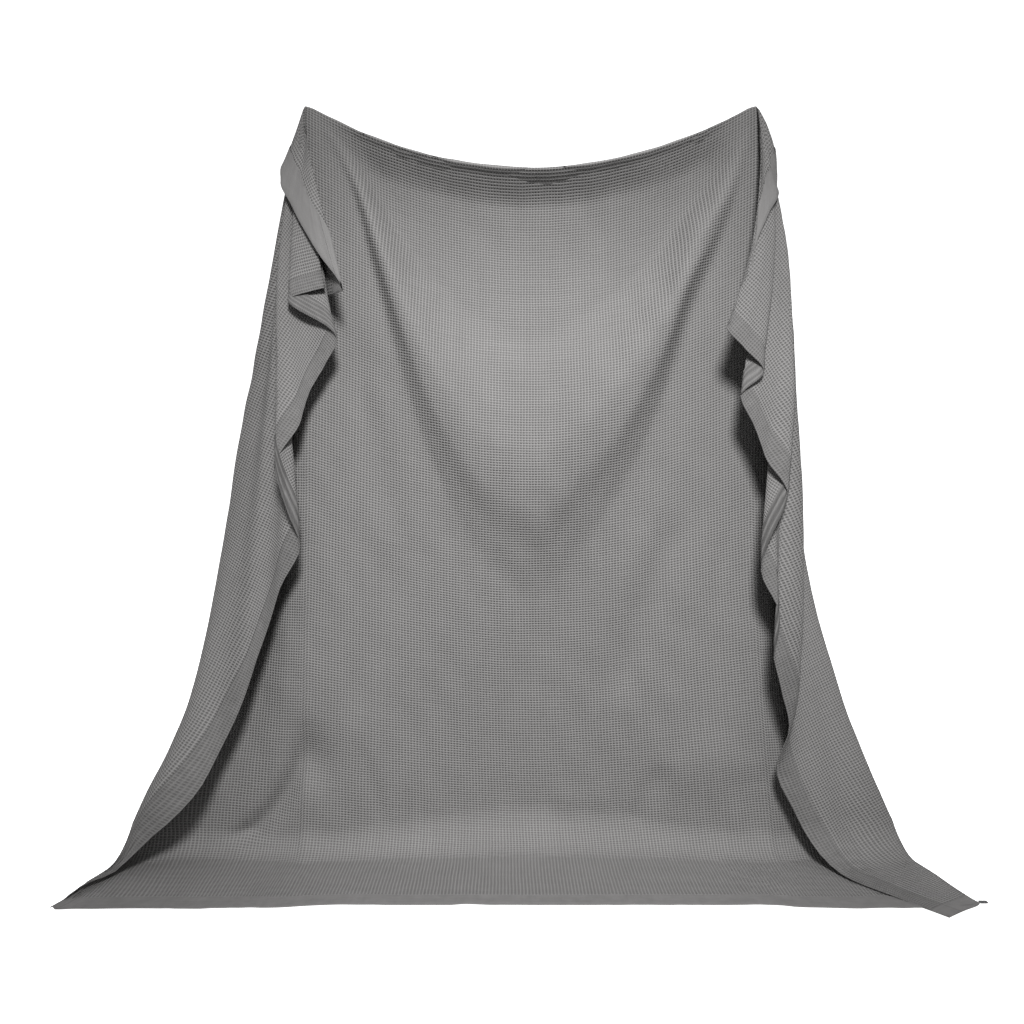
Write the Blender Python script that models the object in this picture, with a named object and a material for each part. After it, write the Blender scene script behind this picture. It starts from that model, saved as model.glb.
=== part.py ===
"""A waffle weave cotton blanket, hung up by two gathered points of its upper part.

The cloth is one rectangle. It is folded over along a line near its top hem, and held at two
points of that line. Between the points the panel sags and hangs down to the floor, where its
lower end lies towards the viewer. Beyond each point the spare cloth falls in a cascade of
pleats, which all run out of that point like the ribs of a fan.

Frame: metres, +Z up, +X to the right, the viewer at -Y. The panel hangs in the plane y = 0
until the last step, which puts the origin under the middle of the whole blanket.
"""
import math

import bpy
import numpy as np

# ------------------------------------------------------------------ the cut cloth
CLOTH_LENGTH = 2.60
FOLDED_OVER = 0.17            # from the top hem to the line along which the cloth is held
BESIDE_LEFT_PIN = 0.525       # from the left side edge to the left point
BESIDE_RIGHT_PIN = 0.585
PANEL_DROP = CLOTH_LENGTH - FOLDED_OVER
SIDE_HEM = 0.045
END_HEM = 0.050
SHEET = 0.0022                # one layer of waffle weave
HEMMED = 0.0034               # the turned hem, two layers
PINCHED = 0.0004              # pressed together at the held points

# ------------------------------------------------------------------ how it hangs
PIN_HEIGHT = 2.108
LEFT_PIN_X = -0.569
RIGHT_PIN_X = 0.671
TOP_SAG = 0.170
ROLL = 0.006                  # the held line is rolled over at this radius
BEND_AT_FLOOR = 0.070         # radius of the bend where the panel reaches the floor
BEND_MORE_IN_MIDDLE = 0.050
BACK_IN_MIDDLE = 0.080        # how much further back the middle of the panel meets the floor
BACK_FROM = (0.25, 1.0)       # share of the drop over which it goes back
HEM_LINE = -0.342             # where the middle of the bottom hem lies
MILLI = 0.001                 # a millimetre
PINCH = 0.030                 # the layers part from each other within this distance of a point
BACK_STRIP_TILT = 2.0         # degrees that the folded-over strip stands off the panel
BACK_FOLLOWS = 1.25           # how far it keeps clear of the hollow under the top edge

# Distances from the held point at which the pleats' outward angles are given.
LEVELS = (0.06, 0.40, 0.75, 1.25, 1.65, 2.05)

# A row for each fold line or edge of a cascade, in the order in which the cloth runs.
# ray: its direction in the flat cloth, in degrees from straight down towards the side edge
# lean: degrees that it points towards the viewer; layer: millimetres towards the viewer at the pin
# bow: millimetres that the middle of its fall lies further back
# outward: degrees that it points outward at each of the levels; the last one given holds further down
FOLD_COLUMNS = ("ray", "lean", "layer", "bow", "outward")
LEFT_CASCADE = (
    (0.0, 0.0, 6, 0, (0.0, 0.0, 0.4, 0.8, 1.0, 1.2)),
    (2.0, -0.15, 6, 6, (2.0, 2.0, 2.2, 2.5, 2.7, 3.1)),
    (6.5, -1.4, 4, 55, (7.0, 7.0, 6.9, 6.8, 7.2, 8.2)),
    (12.3, 0.3, 6, 95, (13.0, 13.9, 13.9, 12.7, 12.1, 14.0)),
    (13.9, 1.4, 10, 92, (12.2, 12.6, 12.3, 11.5, 11.4, 13.4)),
    (16.4, 2.2, 11, 80, (9.4, 9.4, 9.4, 9.2, 8.7, 7.9)),
    (18.2, 3.6, 12, 70, (9.2, 9.2, 8.2, 6.9, 6.4)),
    (20.0, 3.4, 12, 55, (7.0, 7.0, 6.2, 5.1, 5.2)),
    (23.2, 4.0, 13, 25, (5.6, 5.4, 4.2, 3.0)),
    (25.7, 4.6, 13, 5, (4.5, 4.2, 3.0, 0.4)),
    (28.0, 5.4, 13, 0, (8.0, 6.4, 4.2, 1.8)),
    (31.6, 6.2, 14, 0, (12.0, 9.0, 5.4, 3.4)),
    (37.0, 5.9, 15, 0, (9.0, 5.6, 1.2, -2.0)),
    (42.0, 5.6, 15, 0, (6.0, 2.0, -1.8)),
    (47.0, 6.2, 16, 0, (2.0, -2.0, -5.4)),
    (52.5, 7.4, 17, 0, (-1.0, -6.6, -8.6)),
    (71.0, 8.6, 21, 0, (4.6, 4.0, 2.8)),
    (90.0, 10.0, 25, 0, (-2.5, -6.8, -9.4)),
    (107.9, 12.0, 32, 0, (-7.5, -14.0, -14.4)),
    (113.2, 12.0, 32, 0, (-7.0, -9.2, -6.0)),
    (122.0, 11.0, 30, 0, (-10.0, 0.0)),
    (128.0, 9.6, 27, 0, (-9.0, 7.0)),
    (136.0, 6.0, 20, 0, (-2.0, 17.0)),
    (148.0, 2.0, 10, 0, (13.0, 20.0)),
    (158.0, -2.5, 0, 0, (25.0, 17.0)),
    (169.0, -6.0, -7, 0, (13.0,)),
    (180.0, -1.5, -6, 0, (0.0,)),
)
RIGHT_CASCADE = (
    (0.0, 0.0, 6, 0, (0.0, 0.0, 0.3, 0.8, 1.5, 2.3)),
    (2.0, -0.2, 6, 6, (2.7, 2.7, 2.6, 2.5, 3.1, 4.3)),
    (5.0, -1.6, 4, 45, (6.6, 6.6, 5.7, 5.0, 5.8, 7.4)),
    (10.2, 0.2, 6, 80, (13.4, 12.4, 10.0, 8.2, 9.4, 11.8)),
    (13.6, 1.2, 9, 84, (10.4, 9.8, 7.6, 6.0, 6.7, 8.0)),
    (15.7, 1.8, 10, 84, (8.8, 8.8, 6.6, 4.9, 4.8, 5.7)),
    (17.4, 2.6, 10, 60, (9.0, 9.0, 7.2, 5.0, 3.8, 3.3)),
    (19.3, 3.8, 12, 25, (13.0, 11.0, 8.6, 6.2, 4.1, -2.0)),
    (21.4, 4.6, 13, 0, (11.5, 8.8, 6.4, 4.0, 2.0, 0.0)),
    (22.7, 5.0, 13, 0, (10.5, 7.6, 4.8, 2.4, 1.3)),
    (24.7, 5.2, 13, 0, (9.0, 6.6, 3.6, 2.2)),
    (27.2, 5.8, 14, 0, (8.0, 6.0, 3.0, 0.1)),
    (32.7, 7.0, 15, 0, (12.4, 10.6, 7.0, 2.8)),
    (37.0, 7.9, 16, 0, (10.4, 7.6, 3.0, -1.8)),
    (41.0, 8.7, 16, 0, (8.4, 4.0, -0.6, -3.4)),
    (45.7, 9.5, 17, 0, (6.0, 0.6, -4.2, -5.0)),
    (51.0, 10.2, 18, 0, (12.0, 5.4, -0.2)),
    (57.0, 11.8, 21, 0, (7.0, 1.6, -5.0)),
    (64.5, 13.0, 24, 0, (2.0, -4.4, -10.6)),
    (84.0, 7.4, 21, 0, (9.0, 3.0, 0.0)),
    (98.0, 6.4, 18, 0, (6.0, 1.0, -1.0)),
    (106.2, 7.6, 19, 0, (3.0, -1.0, -4.0)),
    (112.7, 14.0, 27, 0, (0.0, -6.8, -8.0)),
    (121.0, 13.6, 29, 0, (-2.0, -2.2)),
    (133.0, 8.0, 22, 0, (3.0, 10.0)),
    (146.0, 1.0, 8, 0, (24.0, 8.0)),
    (157.0, -3.0, 0, 0, (28.0, 2.0)),
    (169.0, -6.0, -7, 0, (16.0, 5.0)),
    (180.0, -1.5, -6, 0, (0.0,)),
)
BOWED_FROM = (0.15, 0.90)     # the outer folds bow backwards between these distances
BOWED_TO = (1.20, 2.08)       # and come forward again between these

# A row for each ray that reaches the floor.
# lean: as above, but for its lower end; heading: degrees outward of what lies on the floor
# lift: millimetres that it stands off the floor; bend: radius of its bend in millimetres
# spread: its run on the floor as a share of the cloth left over
FLOOR_COLUMNS = ("ray", "lean", "heading", "lift", "bend", "spread")
LEFT_ON_FLOOR = (
    (0.0, 0.0, 1.0, 0, 70, 1.00),
    (6.5, -0.5, 3.0, 0, 70, 1.09),
    (11.2, 0.4, 10.0, 2, 80, 1.05),
    (12.2, 1.0, 12.3, 14, 100, 0.93),
    (13.0, 2.4, 15.5, 26, 120, 0.92),
    (13.9, 3.0, 18.0, 16, 110, 0.90),
    (15.4, 4.0, 14.0, 0, 100, 1.00),
    (20.0, 2.2, 14.0, 0, 100, 1.00),
    (31.6, 3.2, 14.0, 0, 100, 1.00),
    (180.0, 3.2, 14.0, 0, 100, 1.00),
)
RIGHT_ON_FLOOR = (
    (0.0, 0.0, 2.0, 0, 70, 1.00),
    (5.0, -0.6, 5.0, 0, 80, 1.10),
    (8.8, 0.0, 10.5, 4, 100, 1.00),
    (10.2, 0.2, 14.2, 16, 120, 0.90),
    (13.6, 0.9, 15.0, 9, 120, 0.92),
    (15.7, 1.8, 15.0, 9, 120, 1.08),
    (18.0, 1.8, 14.0, 9, 120, 1.10),
    (32.7, 3.5, 14.0, 9, 120, 1.00),
    (180.0, 3.5, 14.0, 9, 120, 1.00),
)
RUN_ON_FLOOR = 0.30           # forward run at which a ray has turned to its full heading
FLARE = 0.6
LEAN_OF_FLOOR = (1.50, 2.10)  # between these distances a ray takes up its lean at the floor
FLOOR_LAYER = 4.0             # millimetres that stay under a ray right up to the bottom hem
PANEL_ENDS_AT = 10.0          # rays up to this angle share the panel's creases
PANEL_FADE = 3.0

# The belly between the pins ends in a line shaped like a slack V. Columns: x, and the share of
# the V's depth that it hangs down there.
POUCH_LINE = (
    (-0.569, 0.00), (-0.453, 0.13), (-0.371, 0.345), (-0.287, 0.56), (-0.186, 0.78), (-0.062, 0.937),
    (0.073, 1.00), (0.186, 0.904), (0.309, 0.766), (0.411, 0.60), (0.495, 0.404), (0.585, 0.262),
    (0.671, 0.05),
)
POUCH_DROP = 1.20             # depth of the V below the top edge
# How far the cloth stands forward. Columns: level, 0 at the top edge and 1 at the V, and metres.
BELLY = (
    (0.00, 0.000), (0.10, -0.008), (0.20, -0.017), (0.32, -0.022), (0.37, -0.022), (0.48, 0.010),
    (0.60, 0.046), (0.68, 0.058), (0.78, 0.052), (0.90, 0.022),
    (1.01, 0.003), (1.12, 0.000), (3.0, 0.000),
)
LEAST_REACH = 0.04            # the V is taken to hang down at least this share of its depth
BELLY_GROWS = (0.0, 0.45)     # the belly takes up its full depth between these shares of the V's
FULLER_FROM = (-0.2, 0.5)     # it is fuller on the right, changing over between these places
LESS_LEFT = 0.90
MORE_RIGHT = 1.15

# Just under the rolled top edge the cloth turns back, most in the middle.
TUCK_DEPTH = 0.036
TUCK_FROM = (0.0, 0.085)      # drop below the top edge over which it turns back
TUCK_TO = (0.16, 0.60)        # and over which it comes forward again

# Soft creases of the panel. Columns: one end x0, z0, the other end x1, z1, how far the middle is
# bowed aside, width, and depth, which is negative for a trough.
CREASES = (
    (-0.44, 1.58, -0.31, 0.90, 0.030, 0.040, -0.008),
    (0.62, 1.86, 0.20, 1.42, -0.020, 0.030, -0.009),
    (0.52, 1.05, 0.29, 0.40, 0.020, 0.045, -0.010),
    (-0.30, 0.95, -0.46, 0.35, 0.010, 0.060, -0.006),
    (0.36, 0.27, 0.72, 0.27, 0.000, 0.070, 0.014),
    (0.44, 0.28, 0.33, 0.05, 0.012, 0.030, -0.011),
    (0.70, 0.26, 0.71, 0.05, 0.000, 0.028, -0.013),
    (-0.60, 0.34, -0.87, -0.01, -0.075, 0.034, -0.026),
    (-0.45, 0.36, -0.36, 0.05, 0.000, 0.024, -0.005),
    (0.10, 0.12, 0.30, 0.14, 0.000, 0.040, 0.004),
)
CREASES_END = 0.06            # height above the floor at which the creases start to fade
CREASES_FROM = (0.02, 0.25)   # they set in between these distances from a held point
UNDER_TOP_EDGE = 0.02         # and over this drop below the top edge
LIES_FROM_HEM = 0.20          # a ray's full lift above the floor is reached this far from the hem
PANEL_BLEND = 0.12            # share of the panel's width that follows its neighbouring ray

# ------------------------------------------------------------------ fineness of the mesh
RAY_GAP = 0.080               # widest gap between rays at the cloth's edge, where it is long
MOST_BETWEEN_FOLDS = 3
PANEL_COLUMNS = 16
NEAR_PIN = (0.007, 0.018, 0.035, 0.060, 0.090)      # distances from the held point
# After those, shares of the way on to the inner edge of the hem.
STATIONS = (0.05, 0.10, 0.16, 0.22, 0.29, 0.36, 0.43, 0.50, 0.57, 0.64, 0.71, 0.77, 0.815, 0.85, 0.880,
            0.905, 0.95, 1.0)

# ------------------------------------------------------------------ the tab on the hem
TAB_LENGTH = 0.022
TAB_WIDTH = 0.016
TAB_THICKNESS = 0.0016
TAB_REACH = 0.09              # the last fold is sought this far behind the foremost point
CLEARANCE = 0.0003
BOX_CORNERS = [np.array((x, y, z)) for x in (-1, 1) for y in (-1, 1) for z in (-1, 1)]
BOX_FACES = [(0, 1, 3, 2), (4, 6, 7, 5), (0, 4, 5, 1), (2, 3, 7, 6), (0, 2, 6, 4), (1, 5, 7, 3)]

# Puts the origin under the middle of the whole blanket.
STAND_X = 0.0274
STAND_Y = -0.1561

CASCADES = {-1: LEFT_CASCADE, 1: RIGHT_CASCADE}
ON_FLOOR = {-1: LEFT_ON_FLOOR, 1: RIGHT_ON_FLOOR}
PIN_X = {-1: LEFT_PIN_X, 1: RIGHT_PIN_X}
BESIDE = {-1: BESIDE_LEFT_PIN, 1: BESIDE_RIGHT_PIN}


def slopes(x, y):
    """Slopes of smooth curves through the points that never overshoot them."""
    step = np.diff(x)[:, None]
    rise = np.diff(y, axis=0) / step
    same_way = rise[:-1] * rise[1:] > 0
    before = 2 * step[1:] + step[:-1]
    after = step[1:] + 2 * step[:-1]
    safe_left = np.where(same_way, rise[:-1], 1.0)
    safe_right = np.where(same_way, rise[1:], 1.0)
    inner = np.where(same_way, (before + after) / (before / safe_left + after / safe_right), 0.0)
    return np.vstack([rise[:1], inner, rise[-1:]])


def smooth_through(x, y, at):
    """Values at `at` of the smooth curve through (x, y); y may have a column for each of `at`."""
    x = np.asarray(x, float)
    at = np.asarray(at, float)
    y = np.asarray(y, float).reshape(len(x), -1) * np.ones(at.size)
    slope = slopes(x, y)
    i = np.clip(np.searchsorted(x, at) - 1, 0, len(x) - 2)
    each = np.arange(at.size)
    step = x[i + 1] - x[i]
    t = np.clip((at - x[i]) / step, 0.0, 1.0)
    first = (1 + 2 * t) * (1 - t) ** 2 * y[i, each] + t * (1 - t) ** 2 * step * slope[i, each]
    second = t * t * (3 - 2 * t) * y[i + 1, each] + t * t * (t - 1) * step * slope[i + 1, each]
    return first + second


def eased(low, high, value):
    """0 below `low`, 1 above `high`, and a soft step between them."""
    t = np.clip((value - low) / (high - low), 0.0, 1.0)
    return t * t * (3 - 2 * t)


def parted_by(distance):
    """How far the layers have parted at a distance from the held point, from 0 to 1."""
    return 1 - np.exp(-distance / PINCH)


def ray_length(side, angle, side_hem=0.0, end_hem=0.0):
    """From the held point along a ray to the cloth's edge, or to the inner edge of its hem."""
    across = np.sin(np.radians(angle))
    down = np.cos(np.radians(angle))
    to_side = (BESIDE[side] - side_hem) / np.maximum(across, 1e-6)
    to_bottom = np.where(down > 0, (PANEL_DROP - end_hem) / np.maximum(down, 1e-6), np.inf)
    to_top = np.where(down < 0, (FOLDED_OVER - end_hem) / np.maximum(-down, 1e-6), np.inf)
    return np.minimum(to_side, np.minimum(to_bottom, to_top))


def bent_onto_floor(height, radius, length):
    """Drop and forward run of cloth that hangs from `height` and bends onto the floor."""
    straight = height - radius
    turned = np.clip((length - straight) / radius, 0.0, math.pi / 2)
    drop = np.minimum(length, straight) + radius * np.sin(turned)
    flat = np.maximum(length - straight - radius * math.pi / 2, 0.0)
    return drop, radius * (1 - np.cos(turned)) + flat, turned / (math.pi / 2)


def sag_share(across):
    """Share of the top edge's sag, from 0 at the held points to 1 half way between them."""
    return 4 * across * (1 - across)


def top_edge(x):
    """Height of the sagging upper edge at x."""
    across = np.clip((x - LEFT_PIN_X) / (RIGHT_PIN_X - LEFT_PIN_X), 0.0, 1.0)
    return PIN_HEIGHT - TOP_SAG * sag_share(across)


def pouch_depth(x, z):
    """The belly between the pins: how far it stands forward at (x, z)."""
    places, shares = np.array(POUCH_LINE).T
    reach = smooth_through(places, shares, np.clip(x, places[0], places[-1]))
    reach = np.maximum(reach, LEAST_REACH)
    levels, depths = np.array(BELLY).T
    level = np.clip((top_edge(x) - z) / (POUCH_DROP * reach), 0.0, levels[-1])
    near_pins = eased(*BELLY_GROWS, reach)
    near_pins = near_pins * (LESS_LEFT + (MORE_RIGHT - LESS_LEFT) * eased(*FULLER_FROM, x))
    inside = (x > places[0]) & (x < places[-1])
    across = np.clip((x - LEFT_PIN_X) / (RIGHT_PIN_X - LEFT_PIN_X), 0.0, 1.0)
    drop = top_edge(x) - z
    tuck = TUCK_DEPTH * 4 * across * (1 - across) * eased(*TUCK_FROM, drop) * (1 - eased(*TUCK_TO, drop))
    return smooth_through(levels, depths, level) * near_pins * inside - tuck


def crease_depth(x, z):
    """How far the panel stands forward at (x, z), from its belly and its creases."""
    depth = pouch_depth(x, z)
    for x0, z0, x1, z1, bow, width, deep in CREASES:
        run = math.hypot(x1 - x0, z1 - z0)
        along = np.clip(((x - x0) * (x1 - x0) + (z - z0) * (z1 - z0)) / run ** 2, 0.0, 1.0)
        aside = 4 * bow * along * (1 - along) / run
        off = np.hypot(x - x0 - along * (x1 - x0) - aside * (z1 - z0),
                       z - z0 - along * (z1 - z0) + aside * (x1 - x0))
        depth = depth + deep * np.exp(-(off / width) ** 2) * eased(0.0, CREASES_END, z)
    return depth


def read_rows(rows, names, angle):
    """The named columns of a table, read at the rays' angles."""
    rays = [row[0] for row in rows]
    return {name: smooth_through(rays, [row[k] for row in rows], angle)
            for k, name in enumerate(names)}


def outward_angle(rows, angle, length):
    """How far a ray points outward at a distance from the held point, in degrees."""
    rays = [row[0] for row in rows]
    outward = [row[FOLD_COLUMNS.index("outward")] for row in rows]
    at_levels = [smooth_through(rays, [given[min(k, len(given) - 1)] for given in outward], angle)
                 for k in range(len(LEVELS))]
    return smooth_through(LEVELS, np.array(at_levels), length)


def cascade_point(side, angle, length):
    """Where the cloth lies at `length` along a ray beside the left (-1) or right (+1) point."""
    fold = read_rows(CASCADES[side], FOLD_COLUMNS[:-1], angle)
    outward = np.radians(outward_angle(CASCADES[side], angle, length))
    low = read_rows(ON_FLOOR[side], FLOOR_COLUMNS, angle)
    bow = fold["bow"] * eased(*BOWED_FROM, length) * (1 - eased(*BOWED_TO, length)) * MILLI
    lean = fold["lean"] + (low["lean"] - fold["lean"]) * eased(*LEAN_OF_FLOOR, length)
    lean = np.radians(lean)
    heading = np.radians(low["heading"])
    tilt = np.cos(outward) * np.cos(lean)
    drop, forward, bent = bent_onto_floor(PIN_HEIGHT / tilt, low["bend"] * MILLI, length)
    forward = forward * low["spread"]
    from_hem = PANEL_DROP - length * np.cos(np.radians(angle))
    stays = np.minimum(low["lift"], FLOOR_LAYER)
    lift = stays + (low["lift"] - stays) * eased(0.0, LIES_FROM_HEM, from_hem)
    sideways = forward * np.sin(heading) * (forward / RUN_ON_FLOOR) ** FLARE
    parted = parted_by(length) * fold["layer"] * MILLI
    x = PIN_X[side] + side * (drop * np.sin(outward) * np.cos(lean) + sideways)
    y = bow - drop * np.sin(lean) - forward * np.cos(heading) - parted
    z = PIN_HEIGHT - drop * tilt + bent * lift * MILLI
    on_panel = 1 - eased(PANEL_ENDS_AT - PANEL_FADE, PANEL_ENDS_AT + PANEL_FADE, angle)
    y = y - crease_depth(x, z) * on_panel * eased(*CREASES_FROM, length)
    return np.stack([x, y, z], axis=-1)


def panel_point(across, distance):
    """Where the hanging panel lies: `across` from 0 at the left point to 1 at the right one."""
    middle = np.sin(math.pi * across) ** 2
    left = cascade_point(-1, np.zeros_like(distance), distance)
    right = cascade_point(1, np.zeros_like(distance), distance)
    x = left[:, 0] + (right[:, 0] - left[:, 0]) * across
    top = PIN_HEIGHT - TOP_SAG * sag_share(across)
    radius = BEND_AT_FLOOR + BEND_MORE_IN_MIDDLE * middle
    flat = BACK_IN_MIDDLE * middle - ROLL - radius - HEM_LINE
    length = top - radius + radius * math.pi / 2 + flat
    drop, forward, _ = bent_onto_floor(top, radius, distance / PANEL_DROP * length)
    z = top - drop
    back = BACK_IN_MIDDLE * middle * eased(*BACK_FROM, drop / top)
    creased = crease_depth(x, z) * eased(0.0, UNDER_TOP_EDGE, drop)
    y = back - forward - ROLL * parted_by(distance) - creased
    blend = eased(0.0, PANEL_BLEND, min(across, 1 - across))
    edge = left[:, 1] if across < 0.5 else right[:, 1]
    return np.stack([x, y * blend + (1 - blend) * (edge + back), z], axis=-1)


def back_point(across, length):
    """The strip that is folded over, hanging behind the panel."""
    x = np.full(length.size, LEFT_PIN_X + (RIGHT_PIN_X - LEFT_PIN_X) * across)
    z = PIN_HEIGHT - TOP_SAG * sag_share(across) - length
    behind = np.maximum(0.0, -crease_depth(x, z)) * BACK_FOLLOWS
    y = (ROLL + behind) * parted_by(length) + length * math.sin(math.radians(BACK_STRIP_TILT))
    return np.stack([x, y, z], axis=-1)


def fan_angles(side):
    """The rays that the mesh follows: each row of the cascade, and some between."""
    rows = [row[0] for row in CASCADES[side]]
    angles = []
    for here, there in zip(rows[:-1], rows[1:]):
        gap = math.radians(there - here) * ray_length(side, np.array([here, there])).max()
        parts = min(max(math.ceil(gap / RAY_GAP), 1), MOST_BETWEEN_FOLDS)
        angles += list(np.linspace(here, there, parts, endpoint=False))
    return angles + [rows[-1]]


def ray_stations(length, inner):
    """Distances along a ray: close together at the pin, then up to and across the hem."""
    start = NEAR_PIN[-1]
    return np.array([*NEAR_PIN, *(start + s * (inner - start) for s in STATIONS), length])


def sheet_rays():
    """All rays in one closed round: origin's name, distances along the ray, and points there."""
    rays = []
    panel = [k / PANEL_COLUMNS for k in range(1, PANEL_COLUMNS)]
    down = ray_stations(PANEL_DROP, PANEL_DROP - END_HEM)
    back = ray_stations(FOLDED_OVER, FOLDED_OVER - END_HEM)
    for side in (-1, 1):
        for angle in fan_angles(side)[::-side]:
            reach = float(ray_length(side, np.array(angle)))
            inner = float(ray_length(side, np.array(angle), SIDE_HEM, END_HEM))
            along = ray_stations(reach, inner)
            rays.append((side, along, cascade_point(side, np.full(along.size, angle), along)))
        if side < 0:
            for across in panel:
                rays.append((across, back, back_point(across, back)))
    for across in reversed(panel):
        rays.append((across, down, panel_point(across, down)))
    return rays


def origin_point(name):
    """Where a ray starts: at the left or right held point, or on the line between them."""
    across = {-1: 0.0, 1: 1.0}.get(name, name)
    x = LEFT_PIN_X + (RIGHT_PIN_X - LEFT_PIN_X) * across
    return np.array((x, 0.0, PIN_HEIGHT - TOP_SAG * sag_share(across)))


def sheet_surface():
    """The middle surface of the sheet: its points, thicknesses, faces and outer edge."""
    rays = sheet_rays()
    names = sorted({ray[0] for ray in rays})
    points = [origin_point(name) for name in names]
    thickness = [PINCHED if name in (-1, 1) else SHEET for name in names]
    rows = []
    for name, along, row in rays:
        first = len(points)
        points += list(row)
        layers = [SHEET] * (len(row) - 2) + [HEMMED] * 2
        pinched = name in (-1, 1)
        thickness += [t * (parted_by(r) if pinched else 1.0) for t, r in zip(layers, along)]
        rows.append([names.index(name)] + list(range(first, first + len(row))))
    faces = []
    for row, after in zip(rows, rows[1:] + rows[:1]):
        for k in range(len(row) - 1):
            faces.append([row[k], row[k + 1], after[k + 1]])
            if row[k] != after[k]:
                faces.append([row[k], after[k + 1], after[k]])
    outline = [row[-1] for row in rows]
    return np.array(points), np.array(thickness), faces, outline


def surface_normals(points, faces):
    """The mean direction that the faces round each point look in."""
    normals = np.zeros_like(points)
    for face in faces:
        here, there, last = points[face]
        normals[face] += np.cross(there - here, last - here)
    return normals / np.maximum(np.linalg.norm(normals, axis=1), 1e-12)[:, None]


def thickened(points, thickness, faces, outline):
    """A closed solid: both sides of the sheet, half its thickness out, and its rim."""
    normals = surface_normals(points, faces)
    half = normals * thickness[:, None] / 2
    standing = points + np.array((0.0, 0.0, 1.0)) * thickness[:, None] / 2
    outer = standing + half
    inner = standing - half
    both = np.vstack([outer, inner])
    both[:, 2] = np.maximum(both[:, 2], 0.0)
    shift = len(points)
    solid = [list(face) for face in faces]
    solid += [[k + shift for k in reversed(face)] for face in faces]
    for here, there in zip(outline, outline[1:] + outline[:1]):
        solid.append([there, here, here + shift])
        solid.append([there, here + shift, there + shift])
    return both, solid


def material(name, colour, roughness):
    made = bpy.data.materials.new(name)
    made.use_nodes = True
    shader = made.node_tree.nodes["Principled BSDF"]
    shader.inputs["Base Color"].default_value = (*colour, 1.0)
    shader.inputs["Roughness"].default_value = roughness
    shader.inputs["Metallic"].default_value = 0.0
    return made


def solid_object(name, points, faces, finish):
    mesh = bpy.data.meshes.new(name)
    mesh.from_pydata([tuple(p) for p in points], [], faces)
    mesh.validate()
    mesh.materials.append(finish)
    mesh.shade_smooth()
    made = bpy.data.objects.new(name, mesh)
    bpy.context.scene.collection.objects.link(made)
    return made


def blanket():
    points, thickness, faces, outline = sheet_surface()
    points = points - np.array((STAND_X, STAND_Y, 0.0))
    solid_points, solid_faces = thickened(points, thickness, faces, outline)
    cotton = material("waffle_cotton", (0.23, 0.225, 0.22), 0.9)
    return solid_object("blanket", solid_points, solid_faces, cotton)


def tab(blanket_points):
    """The plain folded tab sewn to the end of the bottom hem, lying out from its last fold."""
    near_hem_end = blanket_points[blanket_points[:, 1] < blanket_points[:, 1].min() + TAB_REACH]
    seat = near_hem_end[near_hem_end[:, 0].argmax()]
    size = (TAB_LENGTH, TAB_WIDTH, TAB_THICKNESS)
    middle = seat + np.array((CLEARANCE + TAB_LENGTH / 2, 0.0, 0.0))
    middle[2] = max(middle[2], TAB_THICKNESS / 2)
    points = [middle + np.array(size) * corner / 2 for corner in BOX_CORNERS]
    black = material("black_tape", (0.012, 0.012, 0.013), 0.7)
    return solid_object("label_tab", points, BOX_FACES, black)


def main():
    for old in list(bpy.data.objects):
        bpy.data.objects.remove(old, do_unlink=True)
    cloth = blanket()
    tab(np.array([tuple(vertex.co) for vertex in cloth.data.vertices]))


main()
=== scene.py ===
import math

import bpy
import numpy as np
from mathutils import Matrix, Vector


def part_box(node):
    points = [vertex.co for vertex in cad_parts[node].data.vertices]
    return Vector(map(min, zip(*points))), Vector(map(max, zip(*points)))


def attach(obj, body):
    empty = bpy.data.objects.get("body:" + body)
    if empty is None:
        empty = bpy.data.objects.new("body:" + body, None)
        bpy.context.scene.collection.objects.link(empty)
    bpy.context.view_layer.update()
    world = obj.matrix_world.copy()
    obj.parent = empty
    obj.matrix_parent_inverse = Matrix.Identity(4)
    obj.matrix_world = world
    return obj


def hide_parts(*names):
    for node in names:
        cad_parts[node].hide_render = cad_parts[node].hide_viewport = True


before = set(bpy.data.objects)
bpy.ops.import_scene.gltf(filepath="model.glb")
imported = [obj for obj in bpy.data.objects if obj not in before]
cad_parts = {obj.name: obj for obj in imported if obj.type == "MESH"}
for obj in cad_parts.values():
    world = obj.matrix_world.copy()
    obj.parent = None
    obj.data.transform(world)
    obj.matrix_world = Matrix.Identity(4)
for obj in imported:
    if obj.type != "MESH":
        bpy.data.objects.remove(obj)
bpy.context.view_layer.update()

# A waffle weave cotton blanket, hung up by two gathered points of its upper part. Its sheet is
# worked out ray by ray: each ray runs over the flat cloth from a held point, or from the line
# between the two, to the cloth's edge. Metres, +Z up, +X to the right, the viewer at -Y.

# ------------------------------------------------------------------ the cut cloth
CLOTH_LENGTH = 2.60
FOLDED_OVER = 0.17            # from the top hem to the line along which the cloth is held
BESIDE_LEFT_PIN = 0.525       # from the left side edge to the left point
BESIDE_RIGHT_PIN = 0.585
PANEL_WIDTH = 1.30            # along the cloth from point to point
CLOTH_WIDTH = BESIDE_LEFT_PIN + PANEL_WIDTH + BESIDE_RIGHT_PIN
PANEL_DROP = CLOTH_LENGTH - FOLDED_OVER
SIDE_HEM = 0.045
END_HEM = 0.050

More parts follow.
